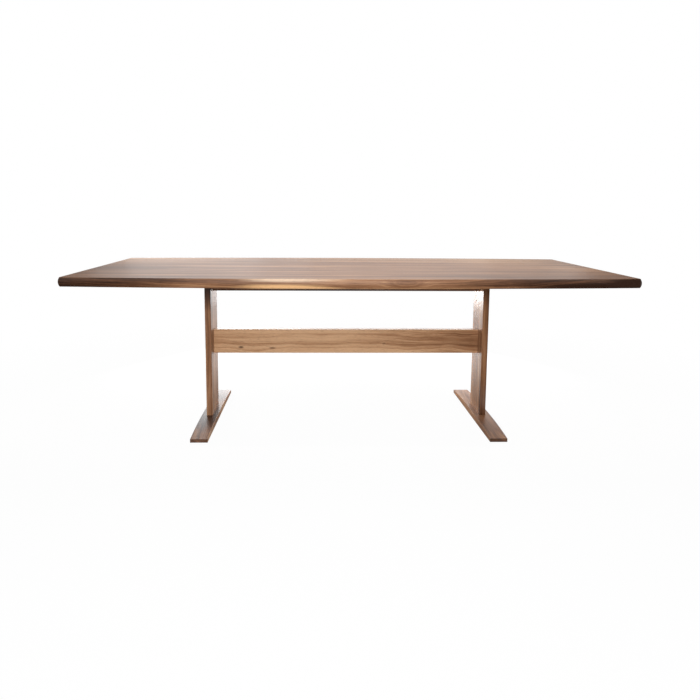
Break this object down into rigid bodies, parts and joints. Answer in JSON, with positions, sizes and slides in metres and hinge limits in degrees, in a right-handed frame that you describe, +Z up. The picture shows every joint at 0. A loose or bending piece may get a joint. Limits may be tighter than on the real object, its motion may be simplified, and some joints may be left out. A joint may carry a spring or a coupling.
{
  "type": "dining table",
  "caption": "Long walnut dining table: a boat-shaped top of glued boards on a trestle of upright planks, flat arched feet, a stretcher and an upper rail.",
  "frame": {"origin": "on the floor, under the middle of the top", "axes": "+X along the table's length, +Y across it towards the back, +Z up"},
  "size_m": [2.4, 1.1076, 0.75],
  "materials": {
    "walnut_top": "satin lacquer over walnut",
    "walnut_base": "satin lacquer over walnut",
    "bolt_steel": "burnished, dark",
    "screw_steel": "zinc plated",
    "insert_brass": "plain",
    "felt": "dense felt"
  },
  "bodies": {
    "root": {"bearer_bolts_left": "bolt_steel", "bearer_bolts_right": "bolt_steel", "bearer_inserts_left": "insert_brass", "bearer_inserts_right": "insert_brass", "bearer_left": "walnut_base", "bearer_right": "walnut_base", "floor_pads_left": "felt", "floor_pads_right": "felt", "foot_bolts_left": "bolt_steel", "foot_bolts_right": "bolt_steel", "foot_inserts_left": "insert_brass", "foot_inserts_right": "insert_brass", "foot_left": "walnut_base", "foot_right": "walnut_base", "leg_left": "walnut_base", "leg_right": "walnut_base", "rail_bolt_left": "bolt_steel", "rail_bolt_right": "bolt_steel", "rail_insert_left": "insert_brass", "rail_insert_right": "insert_brass", "rail_screws": "screw_steel", "stretcher": "walnut_base", "stretcher_bolts_left": "bolt_steel", "stretcher_bolts_right": "bolt_steel", "stretcher_inserts_left": "insert_brass", "stretcher_inserts_right": "insert_brass", "top_board_1": "walnut_top", "top_board_2": "walnut_top", "top_board_3": "walnut_top", "top_board_4": "walnut_top", "top_board_5": "walnut_top", "top_board_6": "walnut_top", "top_board_7": "walnut_top", "top_screws_left": "screw_steel", "top_screws_right": "screw_steel", "top_washers_left": "screw_steel", "top_washers_right": "screw_steel", "upper_rail": "walnut_base"}
  },
  "joints": []
}
